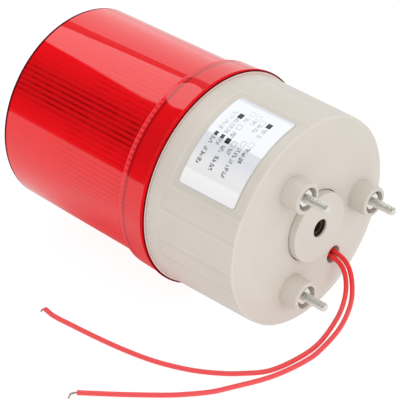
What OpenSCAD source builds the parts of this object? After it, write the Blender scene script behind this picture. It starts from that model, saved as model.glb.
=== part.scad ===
// Flashing warning beacon: a fluted red lens on a moulded base with three mounting studs.
// Each piece is drawn standing on its bosses, lens up, and lay_down() turns it on its side.

/* [Base] */
// Bore of the base, which sets the size of the lens too
bore_d = 90; // [84:0.5:100]
// Thickness of the neck that the lens turns on
neck_wall = 2; // [1.6:0.1:2.6]
// Height of the neck above the shoulder
neck_h = 12; // [11:0.5:16]
// Height of the base from its floor to the shoulder
base_h = 51; // [48:0.5:70]
// How far the base's side lies inside the skirt of the lens
base_inset = 1.05; // [0.6:0.05:1.4]
// How far the side draws in from the shoulder to the lower edge
base_draft = 0.75; // [0.2:0.05:1.5]
// Width of the sloping band round the floor
bevel_w = 8; // [4:0.5:9]
// Height of the sloping band round the floor
bevel_h = 2.75; // [2:0.25:4]
// Radius of the edge between the side and the sloping band
edge_round = 0.9; // [0.4:0.1:1.3]
// Radius of the edge between the sloping band and the floor
band_round = 8; // [2:0.5:12]
// Thickness of the floor
floor_t = 3; // [2.5:0.1:4]

/* [Side panels] */
// Depth of the recess for the label
panel_depth = 0.4; // [0.3:0.05:0.6]
// Room round the label on the flat of its panel
panel_rim = 0.8; // [0.4:0.1:1.5]
// Width of the sloping borders of the panels
panel_border = 2.4; // [1.5:0.1:3]
// Angle that the label spans
label_arc = 55.2; // [40:0.2:57]
// Height of the label
label_h = 30.7; // [20:0.1:31]
// Height of the label's lower edge above the lower edge of the side
label_lift = 5.25; // [3:0.25:5.5]
// Thickness of the label
label_t = 0.2; // [0.1:0.05:0.25]
// Corner radius of the label
label_corner = 1.5; // [0.5:0.1:3]
// Number of shallow grip panels round the rest of the side
grip_count = 10; // [4:1:10]
// Angle that one grip panel spans
grip_arc = 14; // [8:1:16]
// Angle from one grip panel to the next
grip_pitch = 29.1; // [22:0.1:29.2]
// Height of the grip panels above the lower edge
grip_h = 42; // [36:0.5:45]
// Depth of the grip panels
grip_depth = 0.25; // [0.15:0.05:0.4]

/* [Lens] */
// Height of the lens above the base's shoulder
lens_h = 93; // [70:1:120]
// Wall of the lens body at its foot, over the roots of the flutes
lens_wall = 2.6; // [2.2:0.1:2.9]
// How far the body draws in from foot to crown
lens_draft = 0.4; // [0.1:0.1:0.8]
// Thickness of the crown
crown_t = 2.4; // [1.8:0.1:3.5]
// Radius of the crown's edge
crown_round = 1.6; // [1:0.1:3]
// Number of flutes inside the lens
flute_count = 126; // [60:2:160]
// Depth of the flutes
flute_depth = 0.5; // [0.2:0.05:0.8]
// Wall of the skirt
skirt_wall = 1.9; // [1.7:0.1:2.5]
// How far the skirt draws in towards its shoulder
skirt_draft = 0.45; // [0.1:0.05:0.6]
// Thickness of the step over the gasket
step_t = 2.5; // [2:0.1:3.5]
// Radius of the skirt's shoulder
shoulder_round = 0.9; // [0.6:0.1:1.5]
// Radius of the fillet between body and skirt
root_round = 0.9; // [0.6:0.1:1.5]
// How far the lip round the skirt's lower rim stands out
lip_out = 0.5; // [0.3:0.1:0.9]
// Thickness of the lip
lip_t = 1.3; // [1:0.1:2]
// Height over which the lip runs out into the skirt
lip_rise = 1; // [0.5:0.1:2]
// Radius of the lip's lower edge
rim_round = 0.5; // [0.3:0.1:0.9]
// Thickness of the gasket
gasket_t = 1.5; // [1:0.1:2.5]

/* [Bayonet] */
// Number of bayonet lugs
lug_count = 3; // [2:1:4]
// How far the lugs and ramps stand out
lug_out = 0.9; // [0.7:0.1:1.4]
// Thickness of a lug along the axis
lug_t = 2; // [1.4:0.1:2.5]
// Angle that one lug spans
lug_arc = 12; // [8:1:14]
// Height of the lugs above the shoulder
lug_lift = 2; // [1.5:0.1:2.5]
// Thickness of a ramp along the axis
ramp_t = 2.5; // [1.6:0.1:3]
// Angle that one ramp spans past the middle of its closed lug
ramp_arc = 13; // [8:1:14]
// Angle that the stop at the closed end spans
stop_arc = 4; // [3:1:6]
// Angle between a closed lug and its stop
stop_gap = 1; // [0.5:0.5:2]

/* [Mounting] */
// Diameter of the circle that the studs stand on
stud_pcd = 59; // [56:0.5:62]
// Number of studs
stud_count = 3; // [3:1:3]
// Diameter of a stud
stud_d = 4; // [3:0.5:5]
// Length of a stud outside its boss
stud_out = 10.5; // [6:0.5:25]
// Chamfer at the end of a stud
stud_tip = 0.5; // [0.3:0.1:0.8]
// Depth of the thread down to its pitch line, where the nut's thread meets it and the rolled shank begins
thread_depth = 0.25; // [0.2:0.05:0.4]
// Height of a boss under the floor
boss_h = 9; // [7:0.5:14]
// Wall of a boss round its nut
boss_wall = 1.75; // [1.4:0.05:2.4]
// Radius of a boss's outer rim
boss_round = 0.7; // [0.3:0.1:1]
// Height of the pads inside that the screw heads sit on
pad_h = 2.5; // [1.5:0.5:5]
// Width of a nut across its flats
nut_af = 7; // [6:0.5:8.5]
// Thickness of a nut
nut_t = 3.2; // [2:0.1:4]
// How far a nut lies below the face of its boss
nut_sink = 1; // [0.2:0.1:1.5]
// Room round a nut's corners
nut_room = 1.2; // [0.6:0.1:1.5]
// Thickness of a washer
washer_t = 0.8; // [0.5:0.1:1.2]
// Width of a washer's ring
washer_band = 2.2; // [1.6:0.1:2.4]
// Diameter of a screw head
head_d = 8; // [7:0.2:9]
// Height of a screw head
head_h = 2.8; // [2:0.1:4]

/* [Sounder] */
// Diameter of the sounder's cap
cap_d = 32.4; // [28:0.2:34]
// How far the cap stands out of the floor
cap_out = 3.5; // [2:0.5:6]
// Wall of the cap
cap_wall = 1.6; // [1.2:0.1:2.4]
// Thickness of the cap's face
cap_face = 1.8; // [1.2:0.1:2.5]
// Radius of the cap's outer edge
cap_round = 0.6; // [0.3:0.1:1]
// Diameter of the sound hole
sound_hole_d = 8.5; // [5:0.5:12]
// Width of the flange inside the floor
cap_flange_w = 2.4; // [1.6:0.1:2.8]
// Thickness of that flange
cap_flange_t = 1.6; // [1:0.1:2.5]
// Height of the sounder
sounder_h = 10; // [8:0.5:12]
// Diameter of the sounder's port
port_d = 5; // [3:0.5:6]
// Depth of the sounder's port
port_depth = 4; // [2:0.5:6]
// Distance between the sounder's pins
pin_span = 7.6; // [5:0.1:10]
// Diameter of a pin
pin_d = 0.9; // [0.6:0.1:1.2]

/* [Power board] */
// Diameter of the board
board_d = 60; // [58:1:62]
// Thickness of a circuit board
board_t = 1.6; // [1:0.1:2]
// Height of the board above the floor
board_lift = 14; // [13:0.5:20]
// Circle that the board's screws stand on, as a radius
board_post_r = 24; // [23:0.5:25]
// Diameter of the board's posts
board_post_d = 6.5; // [5.5:0.1:7]
// Height of the film capacitor
film_h = 15; // [10:0.5:18]
// Length of the film capacitor
film_len = 18; // [12:0.5:20]
// Thickness of the film capacitor
film_w = 8; // [5:0.5:10]
// Place of the film capacitor from the board's middle
film_at = [2, 14]; // [-20:0.5:20]
// Place of the smoothing capacitor from the board's middle
can_at = [18, -4]; // [-20:0.5:20]
// Diameter of the smoothing capacitor
can_d = 10; // [8:0.5:12]
// Height of the smoothing capacitor
can_h = 16; // [10:0.5:18]
// Length of the rectifier and the flasher chip
chip_len = 9.4; // [7:0.2:11]
// Width of the rectifier and the flasher chip
chip_w = 6.4; // [5:0.2:8]
// Height of the rectifier and the flasher chip
chip_h = 3.4; // [2.5:0.1:5]
// Distance between the rectifier and the flasher chip, middle to middle
chip_pitch = 15; // [12:0.5:18]
// Distance of the rectifier and the flasher chip from the board's middle
chip_out = 14; // [12:0.5:16]
// Number of resistors
resistor_count = 4; // [2:1:4]
// Diameter of a resistor
resistor_d = 2.4; // [1.8:0.1:3]
// Length of a resistor
resistor_len = 6.5; // [5:0.5:8]
// Gap between two resistors
resistor_gap = 1.6; // [1:0.1:2]
// Distance of the resistors from the board's middle
resistor_out = 13; // [11:0.5:16]
// Height of the wire header
header_h = 6; // [4:0.5:9]
// Length of the wire header
header_len = 8; // [6:0.5:10]
// Width of the wire header
header_w = 6; // [4:0.5:8]

/* [Lamp] */
// Thickness of the plate across the neck
plate_t = 2; // [1.6:0.1:3]
// How far the plate's upper face lies below the shoulder
plate_drop = 0; // [-2:0.5:4]
// Circle that the plate's posts stand on, as a radius
post_r = 36.5; // [36:0.5:38]
// Diameter of the plate's posts
post_d = 8; // [7:0.1:8.5]
// Outside width of the square column
column_w = 22; // [18:0.5:28]
// Height of the column
column_h = 60; // [40:1:62]
// Wall of the column
column_wall = 2; // [1.4:0.1:3]
// Thickness of the column's foot
column_foot_t = 2.2; // [1.6:0.1:4]
// Distance of the foot's screws from the column's side
column_screw_out = 5; // [4.5:0.5:7]
// Rim of the foot outside its screw heads
column_foot_rim = 1.5; // [0.5:0.1:3]
// Number of emitters on one strip board
led_count = 5; // [3:1:6]
// Width of an emitter
led_w = 5; // [3:0.5:6]
// Thickness of an emitter
led_t = 1.5; // [0.8:0.1:2]
// Diameter of the lamp's wires
wire_d = 1.4; // [1:0.1:1.8]
// Distance between the lamp's wires
wire_span = 3.2; // [2:0.1:3.8]

/* [Small screws] */
// Diameter of a small screw
small_d = 2.6; // [2:0.1:3]
// Length of a small screw under its head
small_len = 8; // [6:0.5:10]
// Diameter of a small screw's head
small_head_d = 5; // [4.2:0.1:5.6]
// Height of a small screw's head
small_head_h = 1.8; // [1.2:0.1:2.5]

/* [Leads] */
// Diameter of a lead over its insulation
lead_d = 2.2; // [1.6:0.1:2.4]
// Diameter of a lead's bare strands
core_d = 0.9; // [0.6:0.1:1.4]
// Length of the bare strands before they bend
core_stub = 0.7; // [0.4:0.1:1.5]
// Diameter of the hole that the leads leave by
lead_hole_d = 8.4; // [7:0.2:9]
// Distance of that hole from the axis
lead_hole_r = 27; // [26:0.5:28]
// Distance between the two leads in the hole
lead_pitch = 2.6; // [2.5:0.1:3]

/* [Fits] */
// Gap between the lens and what it turns on
slip = 0.3; // [0.25:0.05:0.5]
// Gap between seated faces that are curved
seat_gap = 0.05; // [0.02:0.01:0.1]
// Gap round a screw in its hole, as a radius
hole_gap = 0.15; // [0.1:0.05:0.3]
// Gap round pieces that drop into a recess, as a radius
drop_gap = 0.4; // [0.2:0.1:0.8]

/* [Pose] */
// Turn of the beacon about its axis as it lies
roll = -32; // [-180:1:180]

/* [Hidden] */
$fn = 96;
eps = 0.01;
over = 5;

// Radii, from the bore outwards
bore_r = bore_d / 2;
neck_r = bore_r + neck_wall;
ramp_r = neck_r + lug_out;
skirt_in_r = ramp_r + slip;
lug_r = neck_r + slip;
skirt_r = skirt_in_r + skirt_wall;
skirt_top_r = skirt_r - skirt_draft;
lip_r = skirt_r + lip_out;
base_r = skirt_r - base_inset;
base_foot_r = base_r - base_draft;
lens_r = bore_r + lens_wall;
lens_top_r = lens_r - lens_draft;
ledge_w = skirt_top_r - lens_r;
ledge_round = min(shoulder_round, 0.45 * ledge_w);
ledge_fillet = min(root_round, 0.45 * ledge_w);

// Heights above the faces of the bosses
floor_h = boss_h;
floor_in_h = floor_h + floor_t;
edge_h = floor_h + bevel_h;
shoulder_h = floor_h + base_h;
neck_top_h = shoulder_h + neck_h;
rim_h = shoulder_h + slip;
lip_h = rim_h + lip_t;
step_h = neck_top_h + gasket_t + slip;
skirt_top_h = step_h + step_t;
crown_h = shoulder_h + lens_h;
lug_h = shoulder_h + lug_lift;
ramp_h = lug_h + lug_t + slip;
pad_top_h = floor_in_h + pad_h;
recess_h = nut_sink + nut_t + washer_t;
cap_face_h = floor_h - cap_out;
cap_flange_h = floor_in_h + cap_flange_t;
sounder_base_h = cap_face_h + cap_face;
sounder_top_h = sounder_base_h + sounder_h;
board_h = floor_in_h + board_lift;
board_top_h = board_h + board_t;
plate_top_h = shoulder_h - plate_drop;
plate_h = plate_top_h - plate_t;
column_h0 = plate_top_h + column_foot_t;
column_top_h = column_h0 + column_h;

// Lean of the side, and the arcs of its panels
side_tilt = atan(base_draft / (shoulder_h - edge_h));
border_turn = asin(panel_border / base_foot_r);
label_flat_arc = label_arc + 2 * asin(panel_rim / base_foot_r);

// Widths worked out from the fits
edge_r = min(edge_round, (base_foot_r - bore_r) / 2.5);
nut_corner_d = nut_af / cos(30);
nut_chamfer = (nut_corner_d - nut_af) / 2 * tan(30);
nut_recess_d = nut_corner_d + 2 * nut_room;
boss_d = nut_recess_d + 2 * boss_wall;
stud_hole_d = stud_d + 2 * hole_gap;
shank_d = stud_d - 2 * thread_depth;
small_hole_d = small_d + 2 * hole_gap;
cap_r = cap_d / 2;
sounder_r = cap_r - cap_wall - seat_gap;
plate_r = bore_r - drop_gap;
strip_w = column_w - 2 * board_t;
strip_h = column_h - 2 * board_t;
column_in_w = column_w - 2 * column_wall;
column_screw_r = column_w / 2 + column_screw_out;
column_foot_d = 2 * (column_screw_r + column_foot_rim) + small_head_d;
wire_hole_d = column_in_w - column_wall;
screw_boss_d = small_hole_d + 2 * column_wall;

// Turns about the axis, counted from the middle of the label
lug_turn = 60;
post_turn = 38;
board_turn = 30;
lead_turn = 180;

// Sizes and places on the power board
film_size = [film_len, film_w, film_h];
chip_size = [chip_len, chip_w, chip_h];
bridge_at = [chip_pitch / 2, -chip_out];
chip_at = [-chip_pitch / 2, -chip_out];
resistor_pitch = resistor_d + resistor_gap;
header_size = [header_len, header_w, header_h];

// Routes of the leads in the frame of the finished part, from the hole in the floor to the stripped end
lead_floor_z = -49.4;
hole_turn = roll + lead_turn;
hole_at = [-floor_h, lead_hole_r * sin(hole_turn), lead_hole_r * cos(hole_turn)];
hole_side = [0, cos(hole_turn), -sin(hole_turn)] * lead_pitch / 2;
lead_a_out = [[-2, 12.8, -26.4], [2, 10.5, -32.5], [4, 6.5, -39], [4.9, 0.4, -44.6], [6.1, -11.5, -48.8],
    [5.7, -24.4, lead_floor_z], [2.3, -39, lead_floor_z], [-5.5, -49, lead_floor_z], [-12.5, -55.3, lead_floor_z],
    [-20.5, -60.7, lead_floor_z], [-29.5, -65.1, lead_floor_z], [-39.5, -68.7, lead_floor_z],
    [-52.5, -71.7, lead_floor_z], [-66.5, -73.9, lead_floor_z], [-78.6, -75.3, lead_floor_z],
    [-90.6, -76.5, lead_floor_z], [-97, -75.8, lead_floor_z]];
lead_b_out = [[-1.3, 15, -25.2], [3.6, 12.6, -32], [7, 7.6, -39], [8.9, -1.8, -45.4], [9.6, -15.9, -48.9],
    [9.1, -24.4, lead_floor_z], [7.7, -33, lead_floor_z], [5.7, -40.7, lead_floor_z], [2.9, -47.8, lead_floor_z],
    [-1.5, -56.7, lead_floor_z], [-5.9, -65.2, lead_floor_z], [-12.1, -73.3, lead_floor_z],
    [-18.8, -80.5, lead_floor_z], [-30.5, -91.1, lead_floor_z], [-38.5, -97.9, lead_floor_z],
    [-46.2, -104.3, lead_floor_z]];
core_a_out = [[-98, -76.7, -49.7], [-97.8, -77.9, -49.9]];
core_b_out = [[-47.9, -106.4, -49.7], [-47.4, -107.6, -49.9], [-46.7, -108.7, -49.9]];
lead_sides = 8;
lead_rings = 2;
core_rings = 1;
board_back = [floor_h - board_h, 0, 0];
route_a = concat([hole_at + board_back + hole_side, hole_at + hole_side], lead_a_out);
route_b = concat([hole_at + board_back - hole_side, hole_at - hole_side], lead_b_out);

// Turns a piece from standing on its bosses to lying with its studs along +X.
module lay_down() {
    rotate([0, -90, 0]) rotate([0, 0, roll]) children();
}

// Copies its children round the axis, at a radius and a first turn.
module ring_of(count, radius, turn = 0) {
    for (i = [0 : count - 1]) {
        rotate([0, 0, turn + i * 360 / count]) translate([radius, 0, 0]) children();
    }
}

// A tube that stands on height h.
module tube(outer_d, inner_d, h, height) {
    translate([0, 0, h]) difference() {
        cylinder(d = outer_d, h = height);
        translate([0, 0, -over]) cylinder(d = inner_d, h = height + 2 * over);
    }
}

// A block with its middle at a place on the board.
module on_board(at, size) {
    translate([at.x - size.x / 2, at.y - size.y / 2, board_top_h]) cube(size);
}

// A part of a ring between two radii and two heights, from one turn to another.
module ring_part(inner_r, outer_r, h, height, from, to) {
    rotate([0, 0, from]) rotate_extrude(angle = to - from) translate([inner_r, h]) square([outer_r - inner_r, height]);
}

// Outside radius of the base's side at a height.
function side_r(h) = base_foot_r + base_draft * (h - edge_h) / (shoulder_h - edge_h);

// A layer on the base's side: from one depth under it to another, over a band of heights and an angle.
module side_layer(depth, top, h0, h1, arc) {
    rotate([0, 0, -arc / 2]) rotate_extrude(angle = arc) polygon([
        [side_r(h0) - depth, h0], [side_r(h0) - top, h0], [side_r(h1) - top, h1], [side_r(h1) - depth, h1]]);
}

// A round post that stands on height h, with its lower edge rounded.
module round_ended(d, h, height, edge) {
    translate([0, 0, h]) rotate_extrude() {
        translate([0, edge]) square([d / 2, height - edge]);
        square([d / 2 - edge, height]);
        translate([d / 2 - edge, edge]) circle(edge);
    }
}

// Where the arc that rounds corner b meets the line from b to a.
function arc_foot(a, b, c, r) = b + unit(a - b) * r / tan(acos(unit(a - b) * unit(c - b)) / 2);

// A filling for corner b of a section, between its lines to a and c, that rounds it off.
module rounded_corner(a, b, c, r) {
    inwards = unit(unit(a - b) + unit(c - b));
    half = acos(unit(a - b) * unit(c - b)) / 2;
    intersection() {
        translate(b + inwards * r / sin(half)) circle(r);
        polygon([b, arc_foot(a, b, c, r), b + inwards * floor_t / 2, arc_foot(c, b, a, r)]);
    }
}

// A small screw with its head above height h.
module small_screw(h) {
    translate([0, 0, h - small_len]) cylinder(d = small_d, h = small_len + eps);
    translate([0, 0, h]) cylinder(d = small_head_d, h = small_head_h);
}

// A post from the floor with a blind hole for a small screw.
module post(d, top_h) {
    difference() {
        translate([0, 0, floor_in_h - eps]) cylinder(d = d, h = top_h - floor_in_h + eps);
        translate([0, 0, top_h - small_len - hole_gap]) cylinder(d = small_hole_d, h = small_len + over);
    }
}

// Section of the lens outside: crown with a round edge, body, fillet, skirt with a round shoulder, and its lip.
module lens_section() {
    polygon([[0, rim_h], [skirt_in_r, rim_h], [lens_r, skirt_top_h], [lens_top_r, crown_h - crown_round],
        [lens_top_r - crown_round, crown_h], [0, crown_h]]);
    translate([lens_top_r - crown_round, crown_h - crown_round]) circle(crown_round);
    polygon([[skirt_in_r, rim_h], [lip_r - rim_round, rim_h], [lip_r, rim_h + rim_round], [lip_r, lip_h],
        [skirt_r, lip_h + lip_rise], [skirt_top_r, skirt_top_h - ledge_round],
        [skirt_top_r - ledge_round, skirt_top_h], [bore_r, skirt_top_h]]);
    translate([lip_r - rim_round, rim_h + rim_round]) circle(rim_round);
    translate([skirt_top_r - ledge_round, skirt_top_h - ledge_round]) circle(ledge_round);
    difference() {
        translate([bore_r, skirt_top_h - eps]) square([lens_wall + ledge_fillet, ledge_fillet + eps]);
        translate([lens_r + ledge_fillet, skirt_top_h + ledge_fillet]) circle(ledge_fillet);
    }
}

// Outline of the flutes inside the lens: ridges that point inwards, one to each step.
module flute_outline() {
    step = 360 / flute_count;
    polygon([for (i = [0 : 2 * flute_count - 1])
        (bore_r - (i % 2) * flute_depth) * [cos(i * step / 2), sin(i * step / 2)]]);
}

module lens() {
    color([0.85, 0.08, 0.09]) lay_down() {
        difference() {
            rotate_extrude() lens_section();
            translate([0, 0, rim_h - over]) linear_extrude(crown_h - crown_t - rim_h + over) flute_outline();
            translate([0, 0, rim_h - over]) cylinder(r = skirt_in_r, h = step_h - rim_h + over);
        }
        for (i = [0 : lug_count - 1]) {
            turn = lug_turn + i * 360 / lug_count;
            ring_part(lug_r, skirt_in_r + eps, lug_h, lug_t, turn - lug_arc / 2, turn + lug_arc / 2);
        }
    }
}

module lens_gasket() {
    color([0.12, 0.12, 0.12]) lay_down() tube(2 * neck_r, bore_d, neck_top_h, gasket_t);
}

// Section of the base: sloping band, drawn side, shoulder and neck round an open bore.
module base_section() {
    middle = [0, floor_h];
    band = [base_foot_r - bevel_w, floor_h];
    edge = [base_foot_r, edge_h];
    shoulder = [base_r, shoulder_h];
    polygon([middle, arc_foot(middle, band, edge, band_round), arc_foot(edge, band, middle, band_round),
        arc_foot(band, edge, shoulder, edge_r), arc_foot(shoulder, edge, band, edge_r), shoulder,
        [neck_r, shoulder_h], [neck_r, neck_top_h], [bore_r, neck_top_h], [bore_r, floor_in_h + bevel_h],
        [bore_r - bevel_w, floor_in_h], [0, floor_in_h]]);
    rounded_corner(middle, band, edge, band_round);
    rounded_corner(band, edge, shoulder, edge_r);
}

// A shallow panel in the side, from the lower edge up, with sloping borders round its flat.
module side_panel(depth, flat_h, flat_arc) {
    low = edge_h - bevel_h;
    high = edge_h + flat_h;
    slope = atan((depth - base_foot_r * (1 - cos(border_turn))) / panel_border);
    difference() {
        rotate([0, 0, -flat_arc / 2 - 2 * border_turn]) rotate_extrude(angle = flat_arc + 4 * border_turn) polygon([
            [side_r(low) - depth, low], [side_r(low) + depth, low], [side_r(high) + depth, high + 2 * panel_border],
            [side_r(high) - depth, high]]);
        for (flip = [0, 1]) {
            mirror([0, flip, 0]) rotate([0, 0, flat_arc / 2]) translate([side_r(low) - depth, 0, low])
                rotate([0, side_tilt, 0]) rotate([0, 0, -slope]) translate([-over, -panel_border / 2, -over])
                    cube([over, 4 * panel_border, high - low + 2 * panel_border + 2 * over]);
        }
    }
}

// Panels in the side: one for the label and a row of shallow grip panels round the rest.
module side_recesses() {
    side_panel(panel_depth, label_lift + label_h + panel_rim, label_flat_arc);
    for (i = [0 : grip_count - 1]) {
        rotate([0, 0, 180 + (i - (grip_count - 1) / 2) * grip_pitch])
            side_panel(grip_depth, grip_h - panel_border, grip_arc - 2 * border_turn);
    }
}

// Ramps that the lugs turn under, each with a stop at its closed end.
module bayonet_ramps() {
    for (i = [0 : lug_count - 1]) {
        turn = lug_turn + i * 360 / lug_count;
        stop = turn - lug_arc / 2 - stop_gap;
        ring_part(neck_r - eps, ramp_r, ramp_h, ramp_t, stop - stop_arc, turn + ramp_arc);
        ring_part(neck_r - eps, ramp_r, shoulder_h - eps, ramp_h - shoulder_h + 2 * eps, stop - stop_arc, stop);
    }
}

module base_housing() {
    color([0.83, 0.79, 0.74]) lay_down() difference() {
        union() {
            difference() {
                rotate_extrude() base_section();
                side_recesses();
            }
            bayonet_ramps();
            ring_of(stud_count, stud_pcd / 2) round_ended(boss_d, 0, pad_top_h, boss_round);
            ring_of(3, post_r, post_turn) post(post_d, plate_h);
            ring_of(3, board_post_r, board_turn) post(board_post_d, board_h);
        }
        ring_of(stud_count, stud_pcd / 2) {
            translate([0, 0, -over]) cylinder(d = nut_recess_d, h = recess_h + over);
            translate([0, 0, -over]) cylinder(d = stud_hole_d, h = pad_top_h + 2 * over);
        }
        translate([0, 0, floor_h - over]) cylinder(r = cap_r + drop_gap, h = floor_t + 2 * over);
        rotate([0, 0, lead_turn]) translate([lead_hole_r, 0, floor_h - over])
            cylinder(d = lead_hole_d, h = floor_t + 2 * over);
    }
}

// Outline of the label seen from its front, with round corners.
module label_outline() {
    width = 2 * side_r(edge_h) * sin(label_arc / 2);
    inner_w = width - 2 * label_corner;
    inner_h = label_h - 2 * label_corner;
    square([width, inner_h], center = true);
    square([inner_w, label_h], center = true);
    for (x = [-inner_w / 2, inner_w / 2], y = [-inner_h / 2, inner_h / 2]) {
        translate([x, y]) circle(label_corner);
    }
}

module label() {
    low = edge_h + label_lift;
    color([0.95, 0.96, 0.98]) lay_down() intersection() {
        side_layer(panel_depth - seat_gap, panel_depth - seat_gap - label_t, low, low + label_h, label_flat_arc);
        translate([0, 0, low + label_h / 2]) rotate([90, 0, 90]) linear_extrude(skirt_r) label_outline();
    }
}

module sounder_cap() {
    color([0.84, 0.80, 0.75]) lay_down() difference() {
        union() {
            round_ended(cap_d, cap_face_h, cap_flange_h - cap_face_h, cap_round);
            translate([0, 0, floor_in_h]) cylinder(r = cap_r + cap_flange_w, h = cap_flange_t);
        }
        translate([0, 0, sounder_base_h]) cylinder(r = cap_r - cap_wall, h = cap_flange_h);
        translate([0, 0, cap_face_h - over]) cylinder(d = sound_hole_d, h = cap_face + 2 * over);
    }
}

module sounder_unit() {
    color([0.10, 0.10, 0.11]) lay_down() difference() {
        translate([0, 0, sounder_base_h]) cylinder(r = sounder_r, h = sounder_h);
        translate([0, 0, sounder_base_h - over]) cylinder(d = port_d, h = port_depth + over);
    }
}

module sounder_pins() {
    color("silver") lay_down() ring_of(2, pin_span / 2)
        translate([0, 0, sounder_top_h]) cylinder(d = pin_d, h = board_h - sounder_top_h);
}

module mounting_screws() {
    color([0.80, 0.79, 0.74]) lay_down() ring_of(stud_count, stud_pcd / 2) {
        translate([0, 0, -stud_out]) cylinder(d1 = stud_d - 2 * stud_tip, d2 = stud_d, h = stud_tip);
        translate([0, 0, stud_tip - stud_out]) cylinder(d = stud_d, h = stud_out - stud_tip + nut_sink);
        translate([0, 0, -eps]) cylinder(d = shank_d, h = pad_top_h + 2 * eps);
        translate([0, 0, pad_top_h]) cylinder(d = head_d, h = head_h);
    }
}

module stud_washers() {
    color([0.75, 0.75, 0.73]) lay_down() ring_of(stud_count, stud_pcd / 2)
        tube(stud_hole_d + 2 * washer_band, stud_hole_d, nut_sink + nut_t, washer_t);
}

// Section that turns the corners off a nut at both its faces.
module nut_section() {
    corner_r = nut_corner_d / 2 + eps;
    polygon([[0, 0], [nut_af / 2, 0], [corner_r, nut_chamfer], [corner_r, nut_t - nut_chamfer], [nut_af / 2, nut_t],
        [0, nut_t]]);
}

module stud_nuts() {
    color([0.86, 0.86, 0.84]) lay_down() ring_of(stud_count, stud_pcd / 2) translate([0, 0, nut_sink]) difference() {
        intersection() {
            cylinder(d = nut_corner_d, h = nut_t, $fn = 6);
            rotate_extrude() nut_section();
        }
        translate([0, 0, -over]) cylinder(d = shank_d + 2 * seat_gap, h = nut_t + 2 * over);
    }
}

module power_board() {
    color([0.10, 0.35, 0.20]) lay_down() difference() {
        translate([0, 0, board_h]) cylinder(d = board_d, h = board_t);
        ring_of(3, board_post_r, board_turn) translate([0, 0, board_h - over])
            cylinder(d = small_hole_d, h = board_t + 2 * over);
    }
}

module board_screws() {
    color("silver") lay_down() ring_of(3, board_post_r, board_turn) small_screw(board_top_h);
}

module film_capacitor() {
    color([0.75, 0.15, 0.12]) lay_down() on_board(film_at, film_size);
}

module smoothing_capacitor() {
    color([0.12, 0.14, 0.20]) lay_down() translate([can_at.x, can_at.y, board_top_h]) cylinder(d = can_d, h = can_h);
}

module bridge_rectifier() {
    color([0.12, 0.12, 0.12]) lay_down() on_board(bridge_at, chip_size);
}

module flasher_chip() {
    color([0.15, 0.15, 0.16]) lay_down() on_board(chip_at, chip_size);
}

module resistors() {
    color([0.80, 0.70, 0.52]) lay_down() for (i = [0 : resistor_count - 1]) {
        y = (i - (resistor_count - 1) / 2) * resistor_pitch;
        translate([-resistor_out - resistor_len / 2, y, board_top_h + resistor_d / 2 + seat_gap])
            rotate([0, 90, 0]) cylinder(d = resistor_d, h = resistor_len);
    }
}

module lamp_header() {
    color([0.92, 0.91, 0.86]) lay_down() on_board([0, 0], header_size);
}

module lamp_wires() {
    wire_h = board_top_h + header_h;
    color([0.75, 0.10, 0.10]) lay_down() ring_of(2, wire_span / 2)
        translate([0, 0, wire_h]) cylinder(d = wire_d, h = column_top_h - wire_h);
}

module lamp_plate() {
    boss_t = small_len - column_foot_t;
    color([0.90, 0.89, 0.86]) lay_down() difference() {
        union() {
            translate([0, 0, plate_h]) cylinder(r = plate_r, h = plate_t);
            ring_of(2, column_screw_r) translate([0, 0, plate_top_h - boss_t]) cylinder(d = screw_boss_d, h = boss_t);
        }
        translate([0, 0, plate_h - over]) cylinder(d = wire_hole_d, h = plate_t + 2 * over);
        ring_of(3, post_r, post_turn) translate([0, 0, plate_h - over])
            cylinder(d = small_hole_d, h = plate_t + 2 * over);
        ring_of(2, column_screw_r) translate([0, 0, plate_h - small_len])
            cylinder(d = small_hole_d, h = small_len + plate_t + over);
    }
}

module lamp_plate_screws() {
    color("silver") lay_down() ring_of(3, post_r, post_turn) small_screw(plate_top_h);
}

module led_column() {
    color([0.93, 0.92, 0.90]) lay_down() difference() {
        union() {
            translate([0, 0, plate_top_h]) cylinder(d = column_foot_d, h = column_foot_t);
            translate([-column_w / 2, -column_w / 2, plate_top_h]) cube([column_w, column_w, column_foot_t + column_h]);
        }
        translate([-column_in_w / 2, -column_in_w / 2, column_h0])
            cube([column_in_w, column_in_w, column_h + over]);
        translate([0, 0, plate_top_h - over]) cylinder(d = wire_hole_d, h = column_foot_t + 2 * over);
        ring_of(2, column_screw_r) translate([0, 0, plate_top_h - over])
            cylinder(d = small_hole_d, h = column_foot_t + 2 * over);
    }
}

module column_screws() {
    color("silver") lay_down() ring_of(2, column_screw_r) small_screw(column_h0);
}

module led_boards() {
    color([0.95, 0.95, 0.93]) lay_down() {
        ring_of(4, column_w / 2)
            translate([0, -strip_w / 2, column_h0 + board_t]) cube([board_t, strip_w, strip_h]);
        translate([-column_w / 2, -column_w / 2, column_top_h]) cube([column_w, column_w, board_t]);
    }
}

module leds() {
    pitch = strip_h / led_count;
    color([0.98, 0.93, 0.60]) lay_down() {
        ring_of(4, column_w / 2 + board_t) {
            for (i = [0 : led_count - 1]) {
                translate([0, -led_w / 2, column_h0 + board_t + (i + 0.5) * pitch - led_w / 2])
                    cube([led_t, led_w, led_w]);
            }
        }
        translate([-led_w / 2, -led_w / 2, column_top_h + board_t]) cube([led_w, led_w, led_t]);
    }
}

// A point of a smooth curve through four neighbours, at t between the middle two.
function curve_point(p, t) = 0.5 * (2 * p[1] + t * (p[2] - p[0]) + t * t * (2 * p[0] - 5 * p[1] + 4 * p[2] - p[3])
    + t * t * t * (3 * p[1] - p[0] - 3 * p[2] + p[3]));

// A route with its ends drawn out by one point each, so that the curve reaches them.
function with_ends(p) = concat([2 * p[0] - p[1]], p, [2 * p[len(p) - 1] - p[len(p) - 2]]);

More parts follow.
